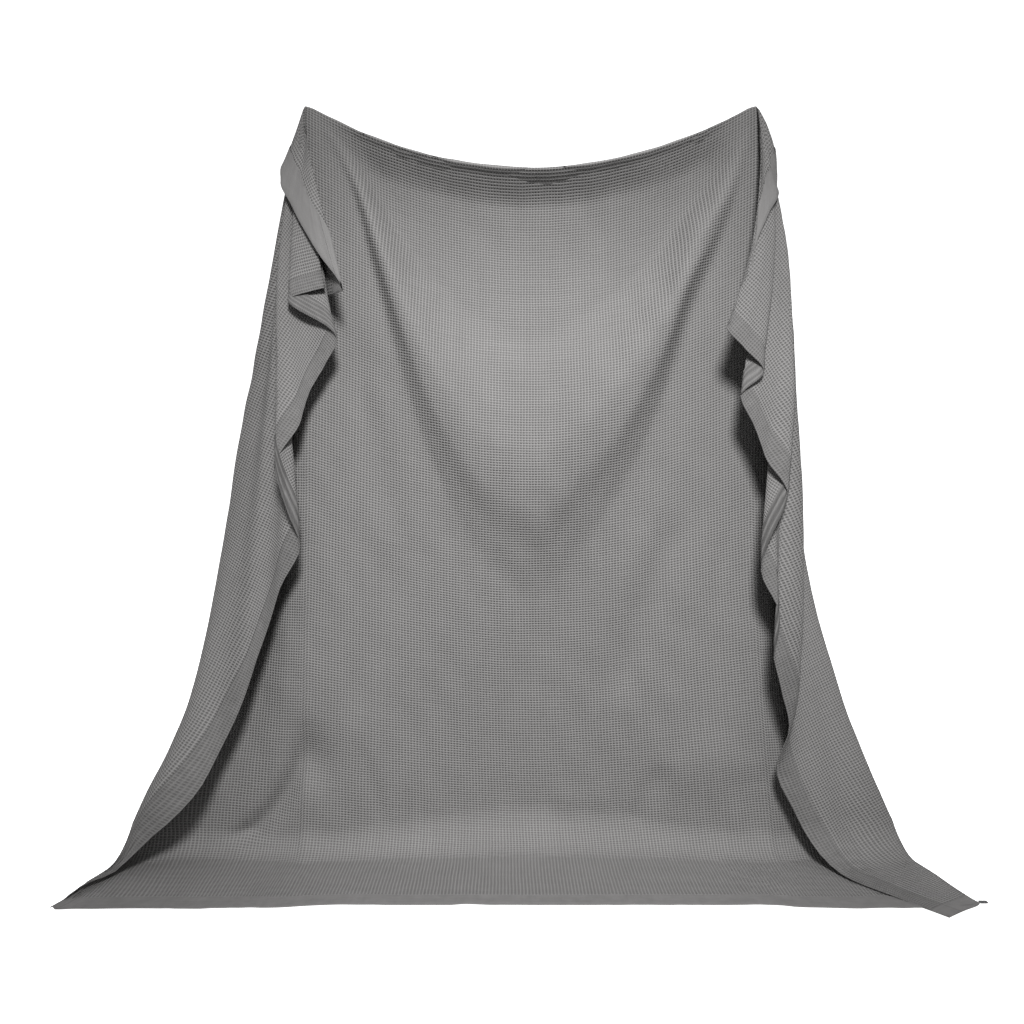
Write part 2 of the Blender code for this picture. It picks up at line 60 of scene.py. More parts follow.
# ------------------------------------------------------------------ how it hangs
PIN_HEIGHT = 2.108
LEFT_PIN_X = -0.569
RIGHT_PIN_X = 0.671
TOP_SAG = 0.170               # how far the top edge sags half way between the points
ROLL = 0.006                  # the held line is rolled over at this radius
BEND_AT_FLOOR = 0.070         # radius of the bend where the panel reaches the floor
BEND_MORE_IN_MIDDLE = 0.050   # and how much more it is in the middle of the panel
BACK_IN_MIDDLE = 0.080        # how much further back the middle of the panel meets the floor
BACK_FROM = (0.25, 1.0)       # share of the drop over which it goes back
HEM_LINE = -0.342             # where the middle of the bottom hem lies
MILLI = 0.001                 # a millimetre
PINCH = 0.030                 # the layers part from each other within this distance of a point
BACK_STRIP_TILT = 2.0         # degrees that the folded-over strip stands off the panel
BACK_FOLLOWS = 1.25           # how far it keeps clear of the hollow under the top edge
OFF_FLOOR = 0.0030            # height of the sheet's middle where it lies on the floor
LOWEST = 0.0003               # no point lies lower than this
STAND_X = 0.0274              # puts the origin under the middle of the whole blanket
STAND_Y = -0.1561

# Distances from the held point at which the pleats' outward angles are given.
LEVELS = (0.06, 0.40, 0.75, 1.25, 1.65, 2.05)
# A row for each fold line or edge of a cascade, in the order in which the cloth runs.
# ray: its direction in the flat cloth, in degrees from straight down towards the side edge
# lean: degrees that it points towards the viewer; layer: millimetres towards the viewer at the pin
# bow: millimetres that the middle of its fall lies further back
# outward: degrees that it points outward at each of the levels; the last one given holds further down
FOLD_COLUMNS = ("ray", "lean", "layer", "bow", "outward")
LEFT_CASCADE = (
    (0.0, 0.0, 6, 0, (0.0, 0.0, 0.4, 0.8, 1.0, 1.2)),
    (2.0, -0.15, 6, 6, (2.0, 2.0, 2.2, 2.5, 2.7, 3.1)),
    (6.5, -1.4, 4, 55, (7.0, 7.0, 6.9, 6.8, 7.2, 8.2)),
    (12.3, 0.3, 6, 112, (13.0, 13.9, 13.9, 12.7, 12.1, 14.0)),
    (13.9, 1.4, 10, 102, (12.2, 12.6, 12.3, 11.5, 11.4, 13.4)),
    (16.4, 2.2, 11, 80, (9.4, 9.4, 9.4, 9.2, 8.7, 7.9)),
    (18.2, 3.6, 12, 64, (9.2, 9.2, 8.2, 6.9, 6.4)),
    (20.0, 3.4, 12, 46, (7.0, 7.0, 6.2, 5.1, 5.2)),
    (23.2, 4.0, 13, 25, (5.6, 5.4, 4.2, 3.0)),
    (25.7, 4.6, 13, 5, (4.5, 4.2, 3.0, 0.4)),
    (28.0, 5.4, 13, 0, (8.0, 6.4, 4.2, 1.8)),
    (31.6, 6.2, 14, 0, (12.0, 9.0, 5.4, 3.4)),
    (37.0, 5.9, 15, 0, (9.0, 5.6, 1.2, -2.0)),
    (42.0, 5.6, 15, 0, (6.0, 2.0, -1.8)),
    (47.0, 6.2, 16, 0, (2.0, -2.0, -5.4)),
    (52.5, 7.4, 17, 0, (-1.0, -6.6, -8.6)),
    (71.0, 8.6, 21, 0, (4.6, 4.0, 2.8)),
    (90.0, 9.4, 25, 0, (-2.0, -6.4, -9.0)),
    (98.5, 3.6, 20, 0, (-2.0, -6.0, -6.6)),
    (107.9, 10.6, 32, 0, (-6.0, -12.4, -13.2)),
    (113.2, 10.6, 32, 0, (-6.6, -6.8, -6.0)),
    (124.0, 9.6, 29, 0, (-7.0, 5.5)),
    (136.0, 7.0, 22, 0, (1.6, 20.9)),
    (148.0, 4.2, 14, 0, (12.3, 24.0)),
    (159.6, 0.5, 6, 0, (17.2, 25.0)),
    (166.0, -2.5, 0, 0, (20.6, 22.8)),
    (173.0, -6.0, -6, 0, (22.4, 22.0)),
    (180.0, -1.5, -6, 0, (0.0,)),
)
RIGHT_CASCADE = (
    (0.0, 0.0, 6, 0, (0.0, 0.0, 0.3, 0.8, 1.5, 2.3)),
    (2.0, -0.2, 6, 6, (2.7, 2.7, 2.6, 2.5, 3.1, 4.3)),
    (5.0, -1.6, 4, 45, (6.6, 6.6, 5.7, 5.0, 5.8, 7.4)),
    (10.2, 0.2, 6, 98, (13.4, 12.4, 10.0, 8.2, 9.4, 11.8)),
    (13.6, 1.2, 9, 90, (10.4, 9.8, 7.6, 6.0, 6.7, 8.0)),
    (15.7, 1.8, 10, 78, (8.8, 8.8, 6.6, 4.9, 4.8, 5.7)),
    (17.4, 2.6, 10, 60, (9.0, 9.0, 7.2, 5.0, 3.8, 3.3)),
    (19.3, 3.8, 12, 25, (13.0, 11.0, 8.6, 6.2, 4.1, -2.0)),
    (21.4, 4.6, 13, 0, (11.5, 8.8, 6.4, 4.0, 2.0, 0.0)),
    (22.7, 5.0, 13, 0, (10.5, 7.6, 4.8, 2.4, 1.3)),
    (24.7, 5.2, 13, 0, (9.0, 6.6, 3.6, 2.2)),
    (27.2, 5.8, 14, 0, (8.0, 6.0, 3.0, 0.1)),
    (32.7, 7.0, 15, 0, (12.4, 10.6, 7.0, 2.8)),
    (37.0, 7.9, 16, 0, (10.4, 7.6, 3.0, -1.8)),
    (41.0, 8.7, 16, 0, (8.4, 4.0, -0.6, -3.4)),
    (45.7, 9.5, 17, 0, (6.0, 0.6, -4.2, -5.0)),
    (51.0, 10.2, 18, 0, (12.0, 5.4, -0.2)),
    (57.0, 11.8, 21, 0, (7.0, 1.6, -5.0)),
    (64.5, 13.0, 24, 0, (2.0, -4.4, -10.6)),
    (84.0, 7.4, 21, 0, (9.0, 3.0, 0.0)),
    (98.0, 6.4, 18, 0, (6.0, 1.0, -1.0)),
    (106.2, 7.6, 19, 0, (3.0, -1.0, -4.0)),
    (112.7, 13.0, 27, 0, (4.0, -3.4, -6.0)),
    (121.0, 12.0, 28, 0, (1.7, 2.3)),
    (132.0, 8.0, 22, 0, (4.0, 14.4)),
    (140.4, 4.2, 15, 0, (18.0, 10.4)),
    (150.0, 0.4, 8, 0, (26.0, 6.8)),
    (160.0, -3.0, 2, 0, (29.0, 2.6)),
    (169.0, -6.0, -6, 0, (29.0, 1.0)),
    (180.0, -1.5, -6, 0, (0.0,)),
)
BOWED_FROM = (0.15, 0.90)     # the outer folds bow backwards between these distances
BOWED_TO = (1.20, 2.08)       # and come forward again between these
# A row for each ray that reaches the floor.
# lean: as above, but for its lower end; heading: degrees outward of what lies on the floor
# lift: millimetres that it stands off the floor; bend: radius of its bend in millimetres
# spread: its run on the floor as a share of the cloth left over
FLOOR_COLUMNS = ("ray", "lean", "heading", "lift", "bend", "spread")
LEFT_ON_FLOOR = (
    (0.0, 0.0, 1.0, 0, 70, 1.00),
    (6.5, -0.5, 3.0, 0, 70, 1.09),
    (11.2, 0.4, 10.0, 2, 80, 1.05),
    (12.2, 1.0, 12.3, 14, 100, 0.93),
    (13.0, 2.4, 15.5, 26, 120, 0.92),
    (13.9, 3.0, 18.0, 16, 110, 0.90),
    (15.4, 4.0, 14.0, 0, 100, 1.00),
    (20.0, 2.2, 14.0, 0, 100, 1.00),
    (31.6, 3.2, 14.0, 0, 100, 1.00),
    (180.0, 3.2, 14.0, 0, 100, 1.00),
)
RIGHT_ON_FLOOR = (
    (0.0, 0.0, 2.0, 0, 70, 1.00),
    (5.0, -0.6, 5.0, 0, 80, 1.10),
    (8.8, 0.0, 10.5, 4, 100, 1.00),
    (10.2, 0.2, 14.2, 16, 120, 0.90),
    (13.6, 0.9, 15.0, 9, 120, 0.92),
    (15.7, 1.8, 15.0, 9, 120, 1.08),
    (18.0, 1.8, 14.0, 9, 120, 1.10),
    (32.7, 3.5, 14.0, 9, 120, 1.00),
    (180.0, 3.5, 14.0, 9, 120, 1.00),
)
RUN_ON_FLOOR = 0.30           # forward run at which a ray has turned to its full heading
FLARE = 0.6                   # the more this is, the later it spreads outward
LEAN_OF_FLOOR = (1.50, 2.10)  # between these distances a ray takes up its lean at the floor
FLOOR_LAYER = 4.0             # millimetres that stay under a ray right up to the bottom hem
LIES_FROM_HEM = 0.20          # a ray's full lift above the floor is reached this far from the hem
PANEL_ENDS_AT = 10.0          # rays up to this angle share the panel's creases
PANEL_FADE = 3.0              # which fade this many degrees before it and after it
PANEL_BLEND = 0.12            # share of the panel's width that follows its neighbouring ray

# The belly between the pins ends in a line shaped like a slack V. Columns: x, and the share of
# the V's depth that it hangs down there.
POUCH_LINE = (
    (-0.569, 0.00), (-0.453, 0.13), (-0.371, 0.345), (-0.287, 0.56), (-0.186, 0.78), (-0.062, 0.937),
    (0.073, 1.00), (0.186, 0.904), (0.309, 0.766), (0.411, 0.60), (0.495, 0.404), (0.585, 0.262),
    (0.671, 0.05),
)
POUCH_DROP = 1.20             # depth of the V below the top edge
# How far the cloth stands forward. Columns: level, 0 at the top edge and 1 at the V, and metres.
BELLY = (
    (0.00, 0.000), (0.10, -0.008), (0.20, -0.017), (0.32, -0.022), (0.37, -0.022), (0.48, 0.010),
    (0.60, 0.046), (0.68, 0.058), (0.78, 0.052), (0.90, 0.022), (1.01, 0.003), (1.12, 0.000),
    (3.00, 0.000),
)
LEAST_REACH = 0.04            # the V is taken to hang down at least this share of its depth
BELLY_GROWS = (0.0, 0.45)     # the belly takes up its full depth between these shares of the V's
FULLER_FROM = (-0.2, 0.5)     # it is fuller on the right, changing over between these places
LESS_LEFT = 0.90
MORE_RIGHT = 1.15

# Just under the rolled top edge the cloth turns back, most in the middle.
TUCK_DEPTH = 0.072
TUCK_FROM = (-0.03, 0.10)     # drop below the top edge over which it turns back
TUCK_TO = (0.10, 0.60)        # and over which it comes forward again

# Soft creases of the panel. Columns: one end x0, z0, the other end x1, z1, how far the middle is
# bowed aside, width, and depth, which is negative for a trough.
CREASES = (
    (-0.44, 1.58, -0.31, 0.90, 0.030, 0.040, -0.008),
    (0.62, 1.86, 0.20, 1.42, -0.020, 0.030, -0.009),
    (0.52, 1.05, 0.29, 0.40, 0.020, 0.045, -0.010),
    (-0.30, 0.95, -0.46, 0.35, 0.010, 0.060, -0.006),
    (0.40, 0.24, 0.74, 0.27, 0.000, 0.085, 0.010),
    (0.46, 0.26, 0.35, 0.05, 0.012, 0.034, -0.006),
    (0.70, 0.26, 0.71, 0.05, 0.000, 0.028, -0.013),
    (-0.58, 0.42, -0.86, -0.01, -0.075, 0.030, -0.026),
    (-0.45, 0.36, -0.36, 0.05, 0.000, 0.024, -0.005),
    (0.10, 0.12, 0.30, 0.14, 0.000, 0.040, 0.004),
)
CREASE_RISES = (0.0, 0.3)     # share of its run over which a crease deepens
CREASE_FADES = (0.8, 1.0)     # and over which it runs out
CREASES_END = 0.06            # height above the floor at which the creases start to fade
CREASES_FROM = (0.02, 0.25)   # they set in between these distances from a held point
UNDER_TOP_EDGE = 0.02         # and over this drop below the top edge

# ------------------------------------------------------------------ fineness of the sheet
RAY_GAP = 0.0124              # widest gap between rays at the cloth's edge
LEAST_PARTS = 3               # least number of strips between two rows of a cascade
CORNER_ROOM = 0.3             # a row this close to the ray of a corner gives way to it, in degrees
STATION_GAP = 0.0088          # mean gap between the stations along a ray
LEAST_STATIONS = 8
CLOSER_AT_PIN = 1.1           # the more this is, the closer they lie at the held points
HEM_TURN = 0.0013             # radius of the turned edge
HEM_TURNS = (60, 120)         # degrees round the turned edge at which a point lies
HEM_STEPS = 6                 # points across the hem's turned-under layer
MAP_OF_TURN = (0.001, 0.002)  # how far those points lie beyond the map's edge
MAP_OF_HEM = (0.003, 0.045)   # and the turned-under layer: its start, and its width
PEAK_ROUNDING = 0.006         # the held points are rounded by what they hang on
PEAK_WIDTH = 0.012

# Fine unevenness of the hung cloth. Columns: size of a wave, how many waves, and their height.
WRINKLES = (
    (0.30, 7, 0.0016),
    (0.13, 9, 0.0007),
    (0.06, 9, 0.00022),
)
WAVE_SPREAD = (0.7, 1.4)      # a wave's length as a share of its size
WAVE_SLANT = 0.5              # how far its direction usually strays, in radians
PUCKERS = 7                   # waves along the side hems, where the seam gathers the cloth
PUCKER_SIZE = (0.022, 0.060)
PUCKER_SLANT = 0.5
PUCKER_HEIGHT = 0.00042
GATHERED = (9.0, 3.7)         # the puckers come and go along the hem at these two paces
WRINKLES_FROM = 0.12          # distance from the held points at which the wrinkles are full

# ------------------------------------------------------------------ the weave and the tape
CELL_ACROSS = 0.0086
CELL_ALONG = 0.0075
PIT_DEPTH = 0.0022
PRESSED = 0.65                # share of that depth that is left in the side hems
DRIFT_ACROSS = 0.0040         # how far the lines of cells wander
DRIFT_ALONG = 0.0050
HEM_SOFT = 0.0015             # half the width over which a hem turns into the body
HEM_RAISED = 0.0010           # how much higher the hems stand than the body
SEAM_DEPTH = 0.0008
SEAM_SOFT = (0.0006, 0.0022)  # a seam's groove is full and gone at these distances from its line
STITCH = 0.0034               # length of a stitch
THREAD_ACROSS = 0.0012
THREAD_ALONG = 0.0011
THREAD_HEIGHT = 0.00006
FUZZ_HEIGHT = 0.00012
MAP_SIZE = 2.80               # the unit square of the cloth's map stands for this many metres
MAP_MARGIN = 0.10             # the turned-under hems lie in this margin
COTTON_GREY = (0.200, 0.196, 0.194, 1.0)
# The darkening towards the middle of each pit is painted shade, standing in for the shadow in the cells'
# hollows.
RIDGE_TONE = 1.30             # the cells' ridges, as a share of that grey
PIT_PAINTED_SHADE = 0.75             # and what is taken off it in the middle of a pit
# Darkening along the seams' grooves is painted shade.
SEAM_PAINTED_SHADE = 0.20
HEM_DARKER = 0.30
# Blotches in the hems are painted light and shade of soft wrinkles.
HEM_WRINKLE_SHADING = 0.35
ROWS_VARY = 0.22              # how far apart the darkest and the lightest rows of yarn are
CORDS_VARY = 0.12
PATCHES_VARY = 0.16
FUZZ_VARY = 0.16
BLACK_DARK = (0.008, 0.008, 0.009, 1.0)
BLACK_LIGHT = (0.020, 0.020, 0.021, 1.0)
TAB_STEPS = 8                 # faces along the tape, across it and round its fold
TAPE_ROOM = 0.0002            # the tape stays this far inside the tab's box

CASCADES = {-1: LEFT_CASCADE, 1: RIGHT_CASCADE}
ON_FLOOR = {-1: LEFT_ON_FLOOR, 1: RIGHT_ON_FLOOR}
PIN_X = {-1: LEFT_PIN_X, 1: RIGHT_PIN_X}
PIN_U = {-1: BESIDE_LEFT_PIN, 1: BESIDE_LEFT_PIN + PANEL_WIDTH}
BESIDE = {-1: BESIDE_LEFT_PIN, 1: BESIDE_RIGHT_PIN}


def slopes(x, y):
    """Slopes of smooth curves through the points that never overshoot them."""
    step = np.diff(x)[:, None]
    rise = np.diff(y, axis=0) / step
    same_way = rise[:-1] * rise[1:] > 0
    before = 2 * step[1:] + step[:-1]
    after = step[1:] + 2 * step[:-1]
    safe_left = np.where(same_way, rise[:-1], 1.0)
    safe_right = np.where(same_way, rise[1:], 1.0)
    inner = np.where(same_way, (before + after) / (before / safe_left + after / safe_right), 0.0)
    return np.vstack([rise[:1], inner, rise[-1:]])


def smooth_through(x, y, at):
    """Values at `at` of the smooth curve through (x, y); y may have a column for each of `at`."""
    x = np.asarray(x, float)
    at = np.asarray(at, float)
    y = np.asarray(y, float).reshape(len(x), -1) * np.ones(at.size)
    slope = slopes(x, y)
    i = np.clip(np.searchsorted(x, at) - 1, 0, len(x) - 2)
    each = np.arange(at.size)
    step = x[i + 1] - x[i]
    t = np.clip((at - x[i]) / step, 0.0, 1.0)
    first = (1 + 2 * t) * (1 - t) ** 2 * y[i, each] + t * (1 - t) ** 2 * step * slope[i, each]
    second = t * t * (3 - 2 * t) * y[i + 1, each] + t * t * (t - 1) * step * slope[i + 1, each]
    return first + second


def eased(low, high, value):
    """0 below `low`, 1 above `high`, and a soft step between them."""
    t = np.clip((value - low) / (high - low), 0.0, 1.0)
    return t * t * (3 - 2 * t)


def parted_by(distance):
    """How far the layers have parted at a distance from the held point, from 0 to 1."""
    return 1 - np.exp(-distance / PINCH)


def ray_length(side, angle, side_hem=0.0, end_hem=0.0):
    """From the held point along a ray to the cloth's edge, or to the inner edge of its hem."""
    across = np.sin(np.radians(angle))
    down = np.cos(np.radians(angle))
    to_side = (BESIDE[side] - side_hem) / np.maximum(across, 1e-6)
    to_bottom = np.where(down > 0, (PANEL_DROP - end_hem) / np.maximum(down, 1e-6), np.inf)
    to_top = np.where(down < 0, (FOLDED_OVER - end_hem) / np.maximum(-down, 1e-6), np.inf)
    return np.minimum(to_side, np.minimum(to_bottom, to_top))


def bent_onto_floor(height, radius, length):
    """Drop and forward run of cloth that hangs from `height` and bends onto the floor."""
    straight = height - radius
    turned = np.clip((length - straight) / radius, 0.0, math.pi / 2)
    drop = np.minimum(length, straight) + radius * np.sin(turned)
    flat = np.maximum(length - straight - radius * math.pi / 2, 0.0)
    return drop, radius * (1 - np.cos(turned)) + flat, turned / (math.pi / 2)


def sag_share(across):
    """Share of the top edge's sag, from 0 at the held points to 1 half way between them."""
    return 4 * across * (1 - across)


def top_edge(x):
    """Height of the sagging upper edge at x."""
    across = np.clip((x - LEFT_PIN_X) / (RIGHT_PIN_X - LEFT_PIN_X), 0.0, 1.0)
    return PIN_HEIGHT - TOP_SAG * sag_share(across)


def pouch_depth(x, z):
    """The belly between the pins: how far it stands forward at (x, z)."""
    places, shares = np.array(POUCH_LINE).T
    reach = smooth_through(places, shares, np.clip(x, places[0], places[-1]))
    reach = np.maximum(reach, LEAST_REACH)
    levels, depths = np.array(BELLY).T
    level = np.clip((top_edge(x) - z) / (POUCH_DROP * reach), 0.0, levels[-1])
    near_pins = eased(*BELLY_GROWS, reach)
    near_pins = near_pins * (LESS_LEFT + (MORE_RIGHT - LESS_LEFT) * eased(*FULLER_FROM, x))
    inside = (x > places[0]) & (x < places[-1])
    across = np.clip((x - LEFT_PIN_X) / (RIGHT_PIN_X - LEFT_PIN_X), 0.0, 1.0)
    drop = top_edge(x) - z
    tuck = TUCK_DEPTH * sag_share(across) * eased(*TUCK_FROM, drop) * (1 - eased(*TUCK_TO, drop))
    return smooth_through(levels, depths, level) * near_pins * inside - tuck


def crease_depth(x, z):
    """How far the panel stands forward at (x, z), from its belly and its creases."""
    depth = pouch_depth(x, z)
    for x0, z0, x1, z1, bow, width, deep in CREASES:
        run = math.hypot(x1 - x0, z1 - z0)
        along = np.clip(((x - x0) * (x1 - x0) + (z - z0) * (z1 - z0)) / run ** 2, 0.0, 1.0)
        aside = 4 * bow * along * (1 - along) / run
        off = np.hypot(x - x0 - along * (x1 - x0) - aside * (z1 - z0),
                       z - z0 - along * (z1 - z0) + aside * (x1 - x0))
        fade = eased(*CREASE_RISES, along) * (1 - eased(*CREASE_FADES, along))
        depth = depth + deep * np.exp(-(off / width) ** 2) * fade * eased(0.0, CREASES_END, z)
    return depth


def read_rows(rows, names, angle):
    """The named columns of a table, read at the rays' angles."""
    rays = [row[0] for row in rows]
    return {name: smooth_through(rays, [row[k] for row in rows], angle)
            for k, name in enumerate(names)}


def outward_angle(rows, angle, length):
    """How far a ray points outward at a distance from the held point, in degrees."""
    rays = [row[0] for row in rows]
    outward = [row[FOLD_COLUMNS.index("outward")] for row in rows]
    at_levels = [smooth_through(rays, [given[min(k, len(given) - 1)] for given in outward], angle)
                 for k in range(len(LEVELS))]
    return smooth_through(LEVELS, np.array(at_levels), length)


def cascade_point(side, angle, length):
    """Where the cloth lies at `length` along a ray beside the left (-1) or right (+1) point."""
    fold = read_rows(CASCADES[side], FOLD_COLUMNS[:-1], angle)
    outward = np.radians(outward_angle(CASCADES[side], angle, length))
    low = read_rows(ON_FLOOR[side], FLOOR_COLUMNS, angle)
    bow = fold["bow"] * eased(*BOWED_FROM, length) * (1 - eased(*BOWED_TO, length)) * MILLI
    lean = fold["lean"] + (low["lean"] - fold["lean"]) * eased(*LEAN_OF_FLOOR, length)
    lean = np.radians(lean)
    heading = np.radians(low["heading"])
    tilt = np.cos(outward) * np.cos(lean)
    drop, forward, bent = bent_onto_floor(PIN_HEIGHT / tilt, low["bend"] * MILLI, length)
    forward = forward * low["spread"]
    from_hem = PANEL_DROP - length * np.cos(np.radians(angle))
    stays = np.minimum(low["lift"], FLOOR_LAYER)
    lift = stays + (low["lift"] - stays) * eased(0.0, LIES_FROM_HEM, from_hem)
    sideways = forward * np.sin(heading) * (forward / RUN_ON_FLOOR) ** FLARE
    parted = parted_by(length) * fold["layer"] * MILLI
    x = PIN_X[side] + side * (drop * np.sin(outward) * np.cos(lean) + sideways)
    y = bow - drop * np.sin(lean) - forward * np.cos(heading) - parted
    z = PIN_HEIGHT - drop * tilt + bent * lift * MILLI
    on_panel = 1 - eased(PANEL_ENDS_AT - PANEL_FADE, PANEL_ENDS_AT + PANEL_FADE, angle)
    y = y - crease_depth(x, z) * on_panel * eased(*CREASES_FROM, length)
    return np.stack([x, y, z], axis=-1)


def panel_point(across, distance):
    """Where the hanging panel lies: `across` from 0 at the left point to 1 at the right one."""
    middle = np.sin(math.pi * across) ** 2
    left = cascade_point(-1, np.zeros_like(distance), distance)
    right = cascade_point(1, np.zeros_like(distance), distance)
    x = left[:, 0] + (right[:, 0] - left[:, 0]) * across
    top = PIN_HEIGHT - TOP_SAG * sag_share(across)
    radius = BEND_AT_FLOOR + BEND_MORE_IN_MIDDLE * middle
    flat = BACK_IN_MIDDLE * middle - ROLL - radius - HEM_LINE
    length = top - radius + radius * math.pi / 2 + flat
    drop, forward, _ = bent_onto_floor(top, radius, distance / PANEL_DROP * length)
    z = top - drop
    back = BACK_IN_MIDDLE * middle * eased(*BACK_FROM, drop / top)
    creased = crease_depth(x, z) * eased(0.0, UNDER_TOP_EDGE, drop)
    y = back - forward - ROLL * parted_by(distance) - creased
    blend = eased(0.0, PANEL_BLEND, np.minimum(across, 1 - across))
    edge = np.where(across < 0.5, left[:, 1], right[:, 1])
    return np.stack([x, y * blend + (1 - blend) * (edge + back), z], axis=-1)


def back_point(across, length):
    """The strip that is folded over, hanging behind the panel."""
    x = LEFT_PIN_X + (RIGHT_PIN_X - LEFT_PIN_X) * across
    z = PIN_HEIGHT - TOP_SAG * sag_share(across) - length
    behind = np.maximum(0.0, -crease_depth(x, z)) * BACK_FOLLOWS
    y = (ROLL + behind) * parted_by(length) + length * math.sin(math.radians(BACK_STRIP_TILT))
    return np.stack([x, y, z], axis=-1)


def fan_angles(side):
    """The rays that the sheet follows beside a held point, the fold lines and corners among them."""
    below = math.degrees(math.atan2(BESIDE[side], PANEL_DROP))
    above = 90 + math.degrees(math.atan2(FOLDED_OVER, BESIDE[side]))
    corners = (below, above)
    rows = [row[0] for row in CASCADES[side]
            if min(abs(row[0] - corner) for corner in corners) > CORNER_ROOM]
    knots = sorted(rows + list(corners))
    angles = []
    for here, there in zip(knots[:-1], knots[1:]):
        reach = float(np.max(ray_length(side, np.array([here, there]))))
        parts = max(LEAST_PARTS, math.ceil(math.radians(there - here) * reach / RAY_GAP))
        angles += list(np.linspace(here, there, parts, endpoint=False))
    return angles + [knots[-1]]


def stations(length, inner):
    """Distances along a ray up to the cloth's edge, and how many of them lie in the hem."""
    parts = max(LEAST_STATIONS, math.ceil(length / STATION_GAP))
    along = length * (np.arange(1, parts + 1) / parts) ** CLOSER_AT_PIN
    return along, max(2, int(np.sum(along > inner)))


def panel_shares():
    """Where the rays of the panel start: shares of the way from one held point to the other."""
    columns = math.ceil(PANEL_WIDTH / RAY_GAP)
    return [k / columns for k in range(1, columns)]


def sheet_rays():
    """All rays in one closed round: the part of the cloth, then for each station the ray's angle
    or share, the distance and the place on the flat cloth, then the count of them in the hem."""
    rays = []

    def fan(side, angles):
        for angle in angles:
            inner = float(ray_length(side, np.array(angle), SIDE_HEM, END_HEM))
            along, in_hem = stations(float(ray_length(side, np.array(angle))), inner)
            turn = math.radians(angle)
            place = np.stack([PIN_U[side] + side * along * math.sin(turn),
                              FOLDED_OVER + along * math.cos(turn)], axis=-1)
            rays.append((side, np.full(along.size, angle), along, place, in_hem))

    def strip(shares, reach, way, name):
        for across in shares:
            along, in_hem = stations(reach, reach - END_HEM)
            place = np.stack([np.full(along.size, PIN_U[-1] + PANEL_WIDTH * across),
                              FOLDED_OVER + way * along], axis=-1)
            rays.append((name, np.full(along.size, across), along, place, in_hem))

    fan(-1, fan_angles(-1))
    strip(panel_shares(), FOLDED_OVER, -1, "back")
    fan(1, fan_angles(1)[::-1])
    strip(panel_shares()[::-1], PANEL_DROP, 1, "front")
    return rays


def sheet_points(rays):
    """The points of all rays, worked out together for each part of the cloth."""
    makers = {-1: lambda a, r: cascade_point(-1, a, r), 1: lambda a, r: cascade_point(1, a, r),
              "back": back_point, "front": panel_point}
    made = [None] * len(rays)
    for name, maker in makers.items():
        chosen = [k for k, ray in enumerate(rays) if ray[0] == name]
        points = maker(np.concatenate([rays[k][1] for k in chosen]),
                       np.concatenate([rays[k][2] for k in chosen]))
        ends = np.cumsum([rays[k][2].size for k in chosen])
        for k, part in zip(chosen, np.split(points, ends[:-1])):
            made[k] = part
    return made


def strip_faces(left, right):
    """Triangles between two rows of points, which may differ in number."""
    faces = []
    i = j = 0
    while i < len(left) - 1 or j < len(right) - 1:
        next_left = (i + 1) / (len(left) - 1)
        next_right = (j + 1) / (len(right) - 1)
        if next_left <= next_right and i < len(left) - 1:
            faces.append((left[i], left[i + 1], right[j]))
            i += 1
        else:
            faces.append((left[i], right[j + 1], right[j]))
            j += 1
    return faces


def vertex_normals(points, faces):
    """The mean direction that the faces round each point look in."""
    corners = points[faces]
    looks = np.cross(corners[:, 1] - corners[:, 0], corners[:, 2] - corners[:, 0])
    normals = np.zeros_like(points)
    for k in range(3):
        np.add.at(normals, faces[:, k], looks)
    return normals / np.maximum(np.linalg.norm(normals, axis=1), 1e-12)[:, None]


def small_wrinkles(place):
    """Height of the fine unevenness of the hung cloth at a place of the flat cloth."""
    draw = np.random.default_rng(11)
    u, v = place.T
    height = np.zeros(len(place))
    for size, count, tall in WRINKLES:
        for _ in range(count):
            way = draw.normal(0.0, WAVE_SLANT)
            phase = draw.uniform(0, 2 * math.pi)
            wave = 2 * math.pi / (size * draw.uniform(*WAVE_SPREAD))
            run = u * math.cos(way) + v * math.sin(way)
            height += tall / math.sqrt(count) * np.sin(wave * run + phase)
    from_side = np.minimum(u, CLOTH_WIDTH - u)
    puckers = np.zeros(len(place))
    for _ in range(PUCKERS):
        wave = 2 * math.pi / draw.uniform(*PUCKER_SIZE)
        slant = draw.uniform(-PUCKER_SLANT, PUCKER_SLANT)
        puckers += np.sin(wave * (v + slant * from_side) + draw.uniform(0, 2 * math.pi))
    fast, slow = GATHERED
    gathered = 0.5 + 0.5 * np.sin(v * fast + 1.0) * np.sin(v * slow)
    return height + PUCKER_HEIGHT * puckers * gathered * np.exp(-(from_side / SIDE_HEM) ** 2)


def turned_hem(points, normals, row, in_hem, place):
    """The edge of a ray's cloth turned under: its points, and its places beyond the map's edge."""
    edge = points[row[-1]]
    outward = edge - points[row[-2]]
    outward = outward / np.linalg.norm(outward)
    normal = normals[row[-1]]
    made = []
    for turn in HEM_TURNS:
        angle = math.radians(turn)
        round_edge = outward * math.sin(angle) - normal * (1 - math.cos(angle))
        made.append(edge + HEM_TURN * round_edge)
    picks = [row[-1 - round(k * in_hem / HEM_STEPS)] for k in range(HEM_STEPS + 1)]
    made += [points[k] - normals[k] * 2 * HEM_TURN for k in picks]
    step = place[-1] - place[-2]
    step = step / np.linalg.norm(step)
    start, width = MAP_OF_HEM
    reach = np.concatenate([MAP_OF_TURN, start + width * np.arange(HEM_STEPS + 1) / HEM_STEPS])
    return made, place[-1] + step * reach[:, None]


